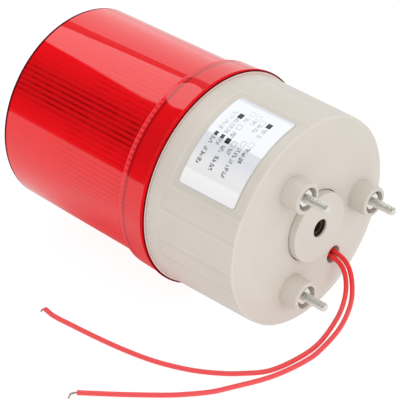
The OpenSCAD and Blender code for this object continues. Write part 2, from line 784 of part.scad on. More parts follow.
// Middles of the rings along a route, with so many to each span between its points.
function ring_middles(route, rings) = let (p = with_ends(route), spans = len(route) - 1)
    [for (k = [0 : spans * rings])
        let (i = min(floor(k / rings), spans - 1))
        curve_point([p[i], p[i + 1], p[i + 2], p[i + 3]], k / rings - i)];

function unit(v) = v / norm(v);
function tangents(m) = [for (i = [0 : len(m) - 1]) unit(m[min(i + 1, len(m) - 1)] - m[max(i - 1, 0)])];

// A side direction for each ring, carried along the route without twist.
function sides(t, list) = len(list) == len(t) ? list :
    let (last = list[len(list) - 1], along = t[len(list)])
    sides(t, concat(list, [unit(last - (last * along) * along)]));

// Route of a lead's bare strands: straight out of the insulation, then through the points after it.
function core_route(route, out) = let (end = route[len(route) - 1], way = unit(end - route[len(route) - 2]))
    concat([end, end + way * core_stub / 2, end + way * core_stub], out);

// A round cord swept along its route as a closed solid.
module swept(route, d, rings) {
    m = ring_middles(route, rings);
    t = tangents(m);
    s = sides(t, [unit(cross(t[0], [0, 0, 1]))]);
    last = len(m) - 1;
    points = [for (i = [0 : last], k = [0 : lead_sides - 1])
        let (a = 360 * k / lead_sides)
        m[i] + d / 2 * (cos(a) * s[i] + sin(a) * cross(t[i], s[i]))];
    walls = [for (i = [0 : last - 1], k = [0 : lead_sides - 1])
        let (a = i * lead_sides + k, b = i * lead_sides + (k + 1) % lead_sides)
        [a, a + lead_sides, b + lead_sides, b]];
    first_end = [for (k = [0 : lead_sides - 1]) k];
    last_end = [for (k = [lead_sides - 1 : -1 : 0]) last * lead_sides + k];
    polyhedron(points, concat(walls, [first_end, last_end]), convexity = 10);
}

module lead_a() {
    color([0.90, 0.10, 0.10]) swept(route_a, lead_d, lead_rings);
}

module lead_a_end() {
    color([0.80, 0.62, 0.45]) swept(core_route(route_a, core_a_out), core_d, core_rings);
}

module lead_b() {
    color([0.90, 0.10, 0.10]) swept(route_b, lead_d, lead_rings);
}

module lead_b_end() {
    color([0.80, 0.62, 0.45]) swept(core_route(route_b, core_b_out), core_d, core_rings);
}

lens();
lens_gasket();
base_housing();
label();
sounder_cap();
sounder_unit();
sounder_pins();
mounting_screws();
stud_washers();
stud_nuts();
power_board();
board_screws();
film_capacitor();
smoothing_capacitor();
bridge_rectifier();
flasher_chip();
resistors();
lamp_header();
lamp_wires();
lamp_plate();
lamp_plate_screws();
led_column();
column_screws();
led_boards();
leds();
lead_a();
lead_a_end();
lead_b();
lead_b_end();
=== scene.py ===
"""Looks of the flashing warning beacon: studio, loose leads, threaded studs and the finish of every piece.

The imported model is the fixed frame. Lengths are in metres, with +X along the beacon's axis from the lens to
the studs and +Z up as it lies on its side.
"""
import logging
import math
from dataclasses import dataclass, field
from enum import Enum
from functools import partial, reduce
from typing import Any, Optional, Union

import bpy
from bpy.types import Material, Node, NodeSocket, NodeTree, Object
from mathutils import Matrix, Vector


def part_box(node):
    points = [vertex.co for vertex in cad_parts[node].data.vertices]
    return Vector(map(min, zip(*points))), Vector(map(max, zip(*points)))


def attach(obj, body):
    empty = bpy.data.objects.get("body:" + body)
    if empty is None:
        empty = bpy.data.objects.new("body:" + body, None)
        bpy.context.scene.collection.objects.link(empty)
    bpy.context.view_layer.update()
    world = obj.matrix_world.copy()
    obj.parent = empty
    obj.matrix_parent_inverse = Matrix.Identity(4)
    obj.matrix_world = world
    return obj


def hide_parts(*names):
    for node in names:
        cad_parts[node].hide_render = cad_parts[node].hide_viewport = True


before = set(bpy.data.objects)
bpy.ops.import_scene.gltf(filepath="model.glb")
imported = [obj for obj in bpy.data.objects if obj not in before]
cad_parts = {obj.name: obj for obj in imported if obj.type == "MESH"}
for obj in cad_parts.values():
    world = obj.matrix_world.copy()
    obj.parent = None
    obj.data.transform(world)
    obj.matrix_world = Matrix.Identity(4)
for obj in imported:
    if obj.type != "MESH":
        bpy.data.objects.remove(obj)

MM = 0.001
ROLL = math.radians(-32)
LOG = logging.getLogger("beacon")

Point = tuple[float, float, float]
Colour = tuple[float, float, float]
Range = tuple[float, float]
Ramp = tuple[float, float, float, float]
Value = Union[float, tuple, NodeSocket]


class Body(Enum):
    """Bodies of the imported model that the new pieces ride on."""

    BASE = "base"


class Slot(Enum):
    """Material slots of the record; nothing in this script reads them."""

    ZINC = "zinc_steel"
    LEAD = "lead_red"
    STRANDS = "bare_copper"


class Box(Enum):
    """Kinds of tick box on the label: half length, half height and width of line, in millimetres."""

    OPEN = (1.3, 1.2, 0.32)
    FILLED = (1.3, 1.2, 1.15)
    SPOT = (1.0, 0.9, 2.0)


class Panel(Enum):
    """Parts of the border of a panel in the base's side: start, end and softness, in widths of the border."""

    SLOPE = (0.0, 0.85, 0.2)
    EDGE = (0.9, 1.2, 0.2)


def rgba(colour: Colour) -> tuple[float, float, float, float]:
    """Returns a colour with full alpha."""
    return (*colour, 1.0)


class Graph:
    """A node tree with short calls for the nodes that the finishes and the studio use."""

    def __init__(self, tree: NodeTree) -> None:
        """Keeps the tree that the nodes go into, and empties it."""
        self.tree = tree
        tree.nodes.clear()

    def add(self, kind: str, *values: Value, **settings: Any) -> Node:
        """Adds a node.

        Args:
            kind: The node's type name without its ShaderNode.
            *values: Its first inputs, in order.
            **settings: Properties to set on it.

        Returns:
            The new node.
        """
        node = self.tree.nodes.new(f"ShaderNode{kind}")
        for name, setting in settings.items():
            setattr(node, name, setting)
        for socket, value in zip(node.inputs, values):
            self.feed(socket, value)
        return node

    def feed(self, socket: NodeSocket, value: Value) -> None:
        """Links a socket to an input, or sets the input to a plain value.

        Args:
            socket: The input.
            value: What it gets.
        """
        if isinstance(value, NodeSocket):
            self.tree.links.new(value, socket)
        else:
            socket.default_value = value

    def put(self, node: Node, **values: Value) -> Node:
        """Feeds a node's inputs.

        Args:
            node: The node.
            **values: Its inputs by name.

        Returns:
            The same node.
        """
        for name, value in values.items():
            self.feed(node.inputs[name], value)
        return node

    def use(self, group: NodeTree, **values: Value) -> Node:
        """Places a node group, with its inputs by name, and returns its node."""
        return self.put(self.add("Group", node_tree=group), **values)

    def maths(self, operation: str, *values: Value, clamp: bool = False) -> NodeSocket:
        """Returns the result of a Math node, kept between 0 and 1 if it is clamped."""
        return self.add("Math", *values, operation=operation, use_clamp=clamp).outputs[0]

    def minus(self, a: Value, b: Value) -> NodeSocket:
        """Returns the difference of two values."""
        return self.maths("SUBTRACT", a, b)

    def most(self, a: Value, b: Value) -> NodeSocket:
        """Returns the greater of two values."""
        return self.maths("MAXIMUM", a, b)

    def times(self, *values: Value) -> Value:
        """Returns the product of some values."""
        return reduce(partial(self.maths, "MULTIPLY"), values)

    def length(self, *sides: Value) -> NodeSocket:
        """Returns the length of a straight way, from how far it goes along each axis."""
        squares = (self.times(side, side) for side in sides)
        return self.maths("SQRT", reduce(partial(self.maths, "ADD"), squares))

    def past(self, value: Value, half: Value, middle: Value = 0.0) -> NodeSocket:
        """Returns how far a value lies outside a stretch that reaches half its length from its middle."""
        return self.minus(self.maths("ABSOLUTE", self.minus(value, middle)), half)

    def ramp(self, value: Value, low: float, high: float, start: Value = 0.0, end: Value = 1.0) -> NodeSocket:
        """Returns a value mapped smoothly: start at low and before it, end at high and past it."""
        node = self.add("MapRange", value, low, high, start, end,
                        interpolation_type="SMOOTHSTEP", clamp=True)
        return node.outputs[0]

    def within(self, value: Value, low: float, high: float, soft: float) -> NodeSocket:
        """Returns 1 between low and high and 0 outside them, with a soft change at either end."""
        half = soft / 2
        return self.times(self.ramp(value, low - half, low + half),
                          self.ramp(value, high + half, high - half))

    def blend(self, share: Value, a: Value, b: Value) -> NodeSocket:
        """Mixes two colours.

        Args:
            share: How much of the second colour there is.
            a: First colour.
            b: Second colour.

        Returns:
            The mixed colour.
        """
        node = self.add("Mix", share, data_type="RGBA")
        first, second = (socket for socket in node.inputs if socket.type == "RGBA")
        self.feed(first, a)
        self.feed(second, b)
        return next(socket for socket in node.outputs if socket.type == "RGBA")

    def layers(self, colour: Value, *coats: tuple[Value, Colour]) -> Value:
        """Lays colours over one another.

        Args:
            colour: The lowest colour.
            *coats: The share and the tone of each colour on top.

        Returns:
            The colour that they make.
        """
        for share, tone in coats:
            colour = self.blend(share, colour, rgba(tone))
        return colour

    def noise(self, vector: Value, scale: Value, detail: float = 2.0) -> NodeSocket:
        """Returns the value of a noise texture, by its features to a metre and the finer layers on top."""
        node = self.put(self.add("TexNoise"), Vector=vector, Scale=scale, Detail=detail)
        return node.outputs["Fac"]

    def bump(self, height: Value, depth: float) -> NodeSocket:
        """Returns the normal of a surface with some heights, where a height of 1 measures the depth."""
        return self.put(self.add("Bump"), Distance=depth, Height=height).outputs[0]


class Effects:
    """Shader node groups that the finishes share, each built once."""

    def __init__(self) -> None:
        """Builds the groups."""
        self.grain = self._skin("moulded_grain", clouds=40.0, cloud_range=(0.35, 0.65), patches=12.0,
                                uneven=0.12, detail=1.0)
        self.plating = self._skin("plated_metal", clouds=6.0, cloud_range=(0.40, 0.68), patches=1.0,
                                  uneven=0.24, detail=3.0, drawn=0.12)
        self.ink_box = self._ink_box()
        self.panel = self._panel()

    @staticmethod
    def _start(
        name: str, inputs: dict[str, str], outputs: dict[str, str]
    ) -> tuple[Graph, list[NodeSocket], Node]:
        """Starts a group with named sockets.

        Args:
            name: The group's name.
            inputs: Socket types by input name.
            outputs: Socket types by output name.

        Returns:
            The group's graph, what its inputs give and its output node.
        """
        tree = bpy.data.node_groups.new(name, "ShaderNodeTree")
        for direction, sockets in (("INPUT", inputs), ("OUTPUT", outputs)):
            for label, kind in sockets.items():
                tree.interface.new_socket(label, in_out=direction, socket_type=f"NodeSocket{kind}")
        graph = Graph(tree)
        given = tree.nodes.new("NodeGroupInput")
        return graph, [given.outputs[label] for label in inputs], tree.nodes.new("NodeGroupOutput")

    def _skin(self, name: str, clouds: float, cloud_range: Range, patches: float, uneven: float,
              detail: float, drawn: float = 1.0, patch_detail: float = 3.0) -> NodeTree:
        """Builds the skin of a material: clouds of a second colour, uneven gloss and a fine relief.

        Args:
            name: The group's name.
            clouds: How much coarser than the relief the clouds are.
            cloud_range: Noise where the second colour starts and where it is full.
            patches: How much coarser than the relief the uneven gloss is.
            uneven: How far the roughness varies.
            detail: Finer layers on the relief.
            drawn: How fast gloss and relief change along the axis, against across it.
            patch_detail: Finer layers on the uneven gloss.

        Returns:
            The group.
        """
        graph, given, made = self._start(
            name,
            {"Vector": "Vector", "Colour": "Color", "Shade": "Color", "Roughness": "Float", "Scale": "Float"},
            {"Colour": "Color", "Roughness": "Float", "Height": "Float"},
        )
        place, colour, shade, roughness, scale = given
        mapping = graph.put(graph.add("Mapping"), Vector=place, Scale=(drawn, 1.0, 1.0))
        share = graph.ramp(graph.noise(place, graph.maths("DIVIDE", scale, clouds)), *cloud_range)
        gloss = graph.noise(mapping.outputs[0], graph.maths("DIVIDE", scale, patches), patch_detail)
        spread = graph.maths("MULTIPLY_ADD", gloss, uneven, -uneven / 2)
        graph.put(made, Colour=graph.blend(share, colour, shade),
                  Roughness=graph.maths("ADD", roughness, spread, clamp=True),
                  Height=graph.noise(mapping.outputs[0], scale, detail))
        return graph.tree

    def _ink_box(self) -> NodeTree:
        """Builds the mask of one printed box, from its half sizes and the width of its line.

        Returns:
            The group.
        """
        names = ("Along", "Across", "Middle Along", "Middle Across", "Half Length", "Half Height", "Line")
        graph, given, made = self._start("ink_box", dict.fromkeys(names, "Float"), {"Mask": "Float"})
        along, across, middle_along, middle_across, half_length, half_height, line = given
        past = graph.most(graph.past(along, half_length, middle_along),
                          graph.past(across, half_height, middle_across))
        in_line = graph.maths("GREATER_THAN", graph.maths("ADD", past, line), 0.0)
        graph.put(made, Mask=graph.times(graph.maths("LESS_THAN", past, 0.0), in_line))
        return graph.tree

    def _panel(self) -> NodeTree:
        """Builds the masks of a shallow panel in the side: its sloping border and the edge round that.

        Returns:
            The group.
        """
        names = ("Along", "Up", "Half", "Top", "Border")
        masks = {part.name: "Float" for part in Panel}
        graph, given, made = self._start("panel_border", dict.fromkeys(names, "Float"), masks)
        along, up, half, top, border = given
        past = graph.maths("DIVIDE", graph.most(graph.past(along, half), graph.minus(up, top)), border)
        graph.put(made, **{part.name: graph.within(past, *part.value) for part in Panel})
        return graph.tree


class Surface(Graph):
    """A material's nodes, with its Principled shader and the places on the object."""

    def __init__(self, name: str, effects: Effects) -> None:
        """Starts the material.

        Args:
            name: The material's name.
            effects: The shared node groups.
        """
        self.material = bpy.data.materials.new(name)
        self.material.use_nodes = True
        super().__init__(self.material.node_tree)
        self.effects = effects
        self.shader = self.add("BsdfPrincipled")
        self.add("OutputMaterial", self.shader.outputs[0])
        self.place = self.add("TexCoord").outputs["Object"]
        self.x, self.y, self.z = self.add("SeparateXYZ", self.place).outputs

    def set(self, name: str, value: Value) -> None:
        """Feeds one of the shader's inputs."""
        self.feed(self.shader.inputs[name], value)

    def turn(self) -> NodeSocket:
        """Returns the angle about the beacon's axis, from the middle of the label."""
        return self.minus(self.maths("ARCTAN2", self.y, self.z), ROLL)

    def radius(self) -> NodeSocket:
        """Returns the distance from the beacon's axis."""
        return self.length(self.y, self.z)


@dataclass(frozen=True)
class Finish:
    """A moulded, painted or dipped surface: a skin of two colours, which a clear coat may cover."""

    name: str
    colour: Colour
    shade: Colour
    roughness: float = 0.4
    scale: float = 2500.0
    depth: float = 0.02 * MM
    coat: float = 0.0
    coat_roughness: float = 0.08
    coat_ior: float = 1.5
    specular: float = 0.5
    metallic: float = 0.0
    transmission: float = 0.0

    def make(self, effects: Effects) -> Material:
        """Builds the material.

        Args:
            effects: The shared node groups.

        Returns:
            The material.
        """
        surface = Surface(self.name, effects)
        skin = surface.use(self._group(effects), Vector=surface.place, Colour=rgba(self.colour),
                           Shade=rgba(self.shade), Roughness=self.roughness, Scale=self.scale)
        inputs = {
            "Metallic": self.metallic,
            "Specular IOR Level": self.specular,
            "Transmission Weight": self.transmission,
            "Coat Weight": self.coat,
            "Coat Roughness": self.coat_roughness,
            "Coat IOR": self.coat_ior,
            "Roughness": skin.outputs["Roughness"],
            "Base Color": skin.outputs["Colour"],
        }
        bend = self._bend(surface)
        if bend is None:
            inputs["Normal"] = surface.bump(skin.outputs["Height"], self.depth)
        else:
            inputs["Normal"] = inputs["Coat Normal"] = surface.bump(bend, MM)
        inputs.update(self._details(surface, skin.outputs["Colour"]))
        for name, value in inputs.items():
            surface.set(name, value)
        return surface.material

    def _group(self, effects: Effects) -> NodeTree:
        """Returns the node group of the skin."""
        return effects.grain

    def _bend(self, surface: Surface) -> Optional[NodeSocket]:
        """Returns heights in millimetres that bend a polished surface, or nothing where the grain shows."""
        return None

    def _details(self, surface: Surface, colour: Value) -> dict[str, Value]:
        """Returns the shader's inputs that differ from the plain skin."""
        return {}


@dataclass(frozen=True)
class MetalFinish(Finish):
    """A plated or bare metal."""

    roughness: float = 0.25
    scale: float = 3000.0
    depth: float = 0.01 * MM
    metallic: float = 1.0

    def _group(self, effects: Effects) -> NodeTree:
        """Returns the node group of plated metal."""
        return effects.plating


@dataclass(frozen=True)
class InsulationFinish(Finish):
    """Red insulation of the leads, with painted light: lighter where it lies near the white table."""

    name: str = "lead_insulation"
    colour: Colour = (0.92, 0.026, 0.029)
    shade: Colour = colour
    roughness: float = 0.38
    scale: float = 1500.0
    depth: float = 0.008 * MM
    coat: float = 0.2
    # painted light: a lighter red near the table
    table_painted_light: Colour = (0.93, 0.080, 0.088)
    heights: Range = (-29 * MM, -42 * MM)

    def _details(self, surface: Surface, colour: Value) -> dict[str, Value]:
        """Returns a colour with painted light, lighter near the table."""
        return {"Base Color": surface.layers(colour, (surface.ramp(surface.z, *self.heights), self.table_painted_light))}


@dataclass(frozen=True)
class HousingFinish(Finish):
    """The base's grey plastic: painted shade in the panels' borders and the sound hole, painted highlights on
    edges.
    """

    name: str = "grey_housing"
    colour: Colour = (0.70, 0.642, 0.575)
    shade: Colour = (0.68, 0.627, 0.56)
    roughness: float = 0.36
    scale: float = 2200.0
    depth: float = 0.004 * MM
    # painted shade for the panels' sloping borders
    border_painted_shade: Colour = (0.61, 0.575, 0.51)
    border_painted_shade_share: float = 0.4
    # painted highlight for the panels' edges and the bevel's edge
    edge: Colour = (0.82, 0.76, 0.685)
    edge_highlight_share: float = 0.22
    # painted shade deep in the sound hole
    bore_painted_shade: Colour = (0.022, 0.010, 0.006)
    bore_radius: float = 4.4 * MM
    bore_depth: Range = (-6.2 * MM, -6.6 * MM)
    radius_mm: float = 48.5
    side_radius: float = 47.53 * MM
    label_half: float = math.radians(28.5)
    label_top_mm: float = 48.5
    label_room: float = math.radians(35.625)
    grip_half: float = math.radians(4.15)
    grip_top_mm: float = 51.35
    grip_pitch: float = math.radians(29.1)
    border_mm: float = 2.4
    # where the painted highlight runs along the bevel's edge
    bevel: tuple[float, float, float] = (-12.25 * MM, -11.15 * MM, 0.8 * MM)
    bevel_highlight_share: float = 0.45

    def _panels(self, surface: Surface) -> dict[Panel, NodeSocket]:
        """Places the masks of the label's panel and of the grip panels.

        Args:
            surface: The material's nodes.

        Returns:
            The masks.
        """
        turn = surface.maths("WRAP", surface.turn(), math.pi, -math.pi)
        step = surface.maths("FRACT", surface.maths("DIVIDE", surface.minus(turn, math.pi), self.grip_pitch))
        pitch = self.grip_pitch * self.radius_mm
        label, grip = (
            surface.use(surface.effects.panel, Along=along, Up=surface.times(surface.x, -1 / MM),
                        Half=half * self.radius_mm, Top=top, Border=self.border_mm)
            for along, half, top in (
                (surface.times(turn, self.radius_mm), self.label_half, self.label_top_mm),
                (surface.maths("MULTIPLY_ADD", step, pitch, -pitch / 2), self.grip_half, self.grip_top_mm),
            )
        )
        gripped = surface.maths("GREATER_THAN", surface.maths("ABSOLUTE", turn), self.label_room)
        return {part: surface.most(label.outputs[part.name], surface.times(grip.outputs[part.name], gripped))
                for part in Panel}

    def _details(self, surface: Surface, colour: Value) -> dict[str, Value]:
        """Paints shade in the side's panel borders and the sound hole, and highlights along the edges.

        Args:
            surface: The material's nodes.
            colour: Colour of the skin.

        Returns:
            The shader's colour.
        """
        radius = surface.radius()
        on_side = surface.maths("GREATER_THAN", radius, self.side_radius)
        panels = self._panels(surface)
        bevel = surface.within(surface.x, *self.bevel)
        in_bore = surface.times(surface.ramp(surface.x, *self.bore_depth),
                                surface.maths("LESS_THAN", radius, self.bore_radius))
        return {"Base Color": surface.layers(
            colour,
            # painted shade in the panels' sloping borders
            (surface.times(panels[Panel.SLOPE], on_side, self.border_painted_shade_share), self.border_painted_shade),
            # painted highlight along the panels' edges
            (surface.times(panels[Panel.EDGE], on_side, self.edge_highlight_share), self.edge),
            # painted highlight along the bevel's edge
            (surface.times(bevel, on_side, self.bevel_highlight_share), self.edge),
            # painted shade deep in the sound hole
            (in_bore, self.bore_painted_shade),
        )}


@dataclass(frozen=True)
class LensFinish(Finish):
    """Clear red plastic, polished outside and fluted inside, with painted shade in bands by turns and painted
    light between.

    A ramp gives two places, or two turns, and the values at them.
    """

    name: str = "clear_red_lens"
    colour: Colour = (0.77, 0.0035, 0.007)
    shade: Colour = colour
    roughness: float = 0.2
    scale: float = 900.0
    coat_roughness: float = 0.015
    coat_ior: float = 1.62
    specular: float = 0.0
    transmission: float = 0.08
    # painted light: a lighter red between the bands of painted shade
    painted_light_red: Colour = (1.0, 0.004, 0.010)
    bands: int = 3
    band_turn: float = math.radians(-17)
    bright_bands: Range = (0.05, 0.38)
    bright_body: Ramp = (-75.6 * MM, -76.6 * MM, 0.6, 1.0)
    # painted shade: dark lines that the inner flutes show through the wall
    rib_painted_shade: Colour = (0.30, 0.0, 0.0015)
    flutes: int = 126
    flank: float = 0.76
    rib_line: Range = (0.32, 0.05)
    rib_foot: Range = (-77.6 * MM, -78.6 * MM)
    rib_crown: Ramp = (-150.5 * MM, -144.5 * MM, 0.7, 1.0)
    rib_bands: Ramp = (0.10, 0.22, 0.92, 0.0)
    rib_fade: Ramp = (-122 * MM, -106 * MM, 0.12, 0.34)
    rib_top: Ramp = (0.0, 0.2, 1.0, 0.5)
    rib_patches: Ramp = (0.3, 0.7, 0.45, 1.0)
    patch_scale: float = 140.0
    # painted shade for the dark lines at the crown's edge, the lip's rim and under the shoulder
    edge: Colour = (0.13, 0.002, 0.006)
    crown: Range = (-150.8 * MM, -151.1 * MM)
    crown_flat: Range = (45.2 * MM, 44.7 * MM)
    rim: Range = (-60.8 * MM, -60.5 * MM)
    dark_line: tuple[float, float, float] = (-73.7 * MM, -72.1 * MM, 0.6 * MM)
    dark_share: float = 0.45
    # painted highlight along the skirt's shoulder, in dashes by the flutes
    lit_line: Colour = (1.0, 0.055, 0.070)
    light_line: tuple[float, float, float] = (-76.6 * MM, -73.7 * MM, 0.4 * MM)
    bead_highlights: Ramp = (0.08, 0.35, 0.3, 1.0)
    bead_dulls: float = 0.6
    # painted highlight on the inner part of the lip's face
    lit_edge: Colour = (1.0, 0.78, 0.72)
    rim_radius: float = 49.8 * MM
    lip: Range = (-62.7 * MM, -62.4 * MM)
    flare: Range = (-76.1 * MM, -62.7 * MM)
    flare_x: float = -67.8 * MM
    flare_rate: float = 0.0002

    def _bend(self, surface: Surface) -> NodeSocket:
        """Bends the skirt, which widens a little at its shoulder and at its lip.

        Args:
            surface: The material's nodes.

        Returns:
            The heights in millimetres.
        """
        low, high = self.flare
        held = surface.maths("MINIMUM", surface.most(surface.x, low), high)
        off = surface.times(surface.minus(held, self.flare_x), 1 / MM)
        return surface.times(off, off, off, self.flare_rate)

    def _off_band(self, surface: Surface) -> NodeSocket:
        """Returns the angle to the middle of the nearest dark band."""
        half = math.pi / self.bands
        return surface.maths("ABSOLUTE", surface.maths(
            "WRAP", surface.minus(surface.turn(), self.band_turn), half, -half))

    def _off_flank(self, surface: Surface) -> NodeSocket:
        """Returns the distance to the dark flank of the nearest flute, in flutes."""
        step = surface.maths("MULTIPLY_ADD", surface.turn(), self.flutes / math.tau, 0.5 - self.flank)
        return surface.past(surface.maths("FRACT", step), 0.0, middle=0.5)

    def _painted_rib_shade(self, surface: Surface) -> Value:
        """Paints a thin line of shade on one flank of each flute, strongest in the dark bands.

        Args:
            surface: The material's nodes.

        Returns:
            The share of the painted shade.
        """
        faint = surface.times(surface.ramp(surface.x, *self.rib_fade),
                              surface.ramp(surface.turn(), *self.rib_top))
        return surface.times(
            surface.ramp(self._off_flank(surface), *self.rib_line),
            surface.ramp(surface.x, *self.rib_foot),
            surface.ramp(surface.x, *self.rib_crown),
            surface.most(surface.ramp(self._off_band(surface), *self.rib_bands), faint),
            surface.ramp(surface.noise(surface.place, self.patch_scale), *self.rib_patches),
        )

    def _details(self, surface: Surface, colour: Value) -> dict[str, Value]:
        """Paints light and shade in bands, shade along the ribs, highlights and shade along the edges, and
        takes the gloss off the edges.

        Args:
            surface: The material's nodes.
            colour: Colour of the skin.

        Returns:
            The shader's colour and coat.
        """
        # painted light between the bands of painted shade
        between = surface.times(surface.ramp(self._off_band(surface), *self.bright_bands),
                                surface.ramp(surface.x, *self.bright_body))
        # painted highlight along the shoulder
        bead_highlights = surface.times(surface.within(surface.x, *self.light_line),
                              surface.ramp(self._off_flank(surface), *self.bead_highlights))
        radius = surface.radius()
        rim = surface.ramp(surface.x, *self.rim)
        crown = surface.ramp(surface.x, *self.crown)
        flat = surface.times(crown, surface.ramp(radius, *self.crown_flat))
        edges = surface.most(surface.minus(crown, flat), rim)
        shoulder = surface.times(surface.within(surface.x, *self.dark_line), self.dark_share)
        matt = surface.most(surface.ramp(surface.x, *self.lip), edges)
        tone = surface.layers(
            colour,
            (between, self.painted_light_red),
            # painted shade along the flutes
            (self._painted_rib_shade(surface), self.rib_painted_shade),
            # painted highlight along the shoulder
            (bead_highlights, self.lit_line),
            # painted shade at the crown's edge, the lip's rim and under the shoulder
            (surface.most(shoulder, edges), self.edge),
            (flat, self.colour),
            # painted highlight on the lip's face
            (surface.times(rim, surface.maths("LESS_THAN", radius, self.rim_radius)), self.lit_edge),
        )
        bare = surface.most(matt, surface.times(bead_highlights, self.bead_dulls))
        return {"Base Color": tone, "Coat Weight": surface.minus(1.0, bare)}


@dataclass(frozen=True)
class PrintRow:
    """A row of print on the label: places along the row in millimetres, each with how dark its ink is.

    Attributes:
        across: Place of the row across the label.
        strokes: Broken bars as place, half length and darkness.
        boxes: Tick boxes as place, darkness and kind.
    """

    across: float
    strokes: tuple[tuple[float, float, float], ...]
    boxes: tuple[tuple[float, float, Box], ...]


LABEL_ROWS = (
    PrintRow(-10.5, ((-11.4, 1.3, 0.75), (-8.2, 1.2, 0.75), (-5.8, 0.8, 0.6), (-1.4, 1.7, 0.6),
                     (5.3, 1.2, 0.42), (8.1, 1.2, 0.42), (11.4, 1.1, 0.36), (14.3, 1.0, 0.28)),
             ((1.8, 0.95, Box.SPOT),)),
    PrintRow(-7.0, ((-1.2, 1.6, 0.55), (4.9, 1.2, 0.42), (7.7, 1.2, 0.42), (10.8, 1.2, 0.42)),
             ((1.7, 0.95, Box.SPOT), (13.6, 1.0, Box.FILLED))),
    PrintRow(-3.5, ((-11.6, 1.5, 0.8), (-7.9, 1.5, 0.7), (-3.1, 1.7, 0.6), (4.4, 1.4, 0.6),
                    (13.2, 1.6, 0.34)),
             ((1.0, 1.0, Box.FILLED), (8.6, 0.4, Box.OPEN), (17.2, 0.26, Box.OPEN))),
    PrintRow(0.0, ((-2.8, 1.6, 0.6), (13.6, 1.5, 0.36)), ((0.8, 0.55, Box.OPEN), (16.8, 0.3, Box.OPEN))),
    PrintRow(3.5, ((-12.2, 1.2, 0.7), (-9.2, 1.3, 0.65), (-6.0, 1.0, 0.5), (-3.1, 1.1, 0.75),
                   (-0.4, 1.1, 0.65), (10.4, 1.1, 0.36), (12.8, 1.0, 0.36)),
             ((2.7, 0.42, Box.OPEN), (15.2, 0.3, Box.OPEN))),
    PrintRow(7.0, ((-4.0, 1.1, 0.8), (-1.5, 1.2, 0.75), (1.1, 1.1, 0.7), (8.8, 1.2, 0.3), (12.0, 1.3, 0.36)),
             ((3.9, 0.3, Box.OPEN), (15.3, 1.0, Box.FILLED))),
)


@dataclass(frozen=True)
class LabelFinish(Finish):
    """Glossy white film printed with rows of broken bars and tick boxes. Its own sizes are in millimetres."""

    name: str = "printed_label"
    colour: Colour = (0.85, 0.88, 0.925)
    shade: Colour = colour
    roughness: float = 0.36
    scale: float = 1500.0
    coat: float = 0.9
    coat_roughness: float = 0.02
    coat_ior: float = 2.0
    specular: float = 0.3
    # painted reflection: the film is whiter towards its foot
    foot: Colour = (1.0, 0.995, 1.0)
    foot_along: Range = (-4.0, -13.0)
    # painted shadow along the film's border
    border: Colour = (0.60, 0.61, 0.58)
    border_past: Range = (-0.455, -0.245)
    clear: Colour = (0.66, 0.61, 0.545)
    clear_past: Range = (-0.1, 0.1)
    ink: Colour = (0.012, 0.011, 0.012)
    ink_dulls: float = 0.75
    radius: float = 47.95
    middle_x: float = -32.35
    half_size: Range = (23.1, 15.35)
    corner_radius: float = 1.7
    stroke_half: float = 1.05
    breaks: Range = (0.40, 0.56)
    break_scale: float = 1.3
    break_stretch: float = 0.45
    dip_from: float = -0.5
    dip_rate: float = 0.0117
    rows: tuple[PrintRow, ...] = LABEL_ROWS

    def _along(self, surface: Surface) -> Value:
        """Returns the place along the rows."""
        return surface.times(surface.turn(), self.radius)

    def _bend(self, surface: Surface) -> NodeSocket:
        """Returns the heights of the film, which dips towards its foot."""
        below = surface.most(surface.minus(self.dip_from, self._along(surface)), 0.0)
        return surface.times(below, below, -self.dip_rate)

    def _print(self, surface: Surface, along: Value, across: Value) -> NodeSocket:
        """Lays down the print.

        Args:
            surface: The material's nodes.
            along: Place along the rows.
            across: Place across the rows.

        Returns:
            The share of ink.
        """
        inks: dict[bool, Value] = {True: 0.0, False: 0.0}
        for row in self.rows:
            marks = [(True, at, (half, self.stroke_half, 2 * half), dark) for at, half, dark in row.strokes]
            marks += [(False, at, kind.value, dark) for at, dark, kind in row.boxes]
            for broken, at, shape, dark in marks:
                mark = surface.add("Group", along, across, at, row.across, *shape,
                                   node_tree=surface.effects.ink_box)
                inks[broken] = surface.maths("MULTIPLY_ADD", mark.outputs[0], dark, inks[broken])
        stretched = surface.add("CombineXYZ", along, surface.times(across, self.break_stretch))
        breaks = surface.ramp(surface.noise(stretched.outputs[0], self.break_scale, detail=1.0), *self.breaks)
        return surface.maths("MULTIPLY_ADD", inks[True], breaks, inks[False], clamp=True)

    def _details(self, surface: Surface, colour: Value) -> dict[str, Value]:
        """Colours the film, painting a reflection at its foot and shadow at its border, clears its round
        corners and prints it.

        Args:
            surface: The material's nodes.
            colour: Colour of the skin.

        Returns:
            The shader's colour and coat.
        """
        along = self._along(surface)
        across = surface.minus(surface.times(surface.x, 1 / MM), self.middle_x)
        ink = self._print(surface, along, across)
        corner = [surface.most(surface.past(at, half - self.corner_radius), 0.0)
                  for at, half in zip((along, across), self.half_size)]
        past = surface.minus(surface.length(*corner), self.corner_radius)
        tone = surface.layers(
            colour,
            # painted reflection towards the foot
            (surface.ramp(along, *self.foot_along), self.foot),
            # painted shadow along the border
            (surface.ramp(past, *self.border_past), self.border),
            (surface.ramp(past, *self.clear_past), self.clear),
            (ink, self.ink),
        )
        coat = surface.maths("MULTIPLY_ADD", ink, -self.ink_dulls, self.coat)
        return {"Base Color": tone, "Coat Weight": coat}


def aim(name: str, data: Any, place: Point, look: Vector) -> Object:
    """Puts a camera or a light into the scene.

    Args:
        name: The object's name.
        data: The camera or light.
        place: Where it stands.
        look: The way that it faces.

    Returns:
        The object.
    """
    obj = bpy.data.objects.new(name, data)
    bpy.context.scene.collection.objects.link(obj)
    obj.location = place
    obj.rotation_euler = look.to_track_quat("-Z", "Y").to_euler()
    return obj


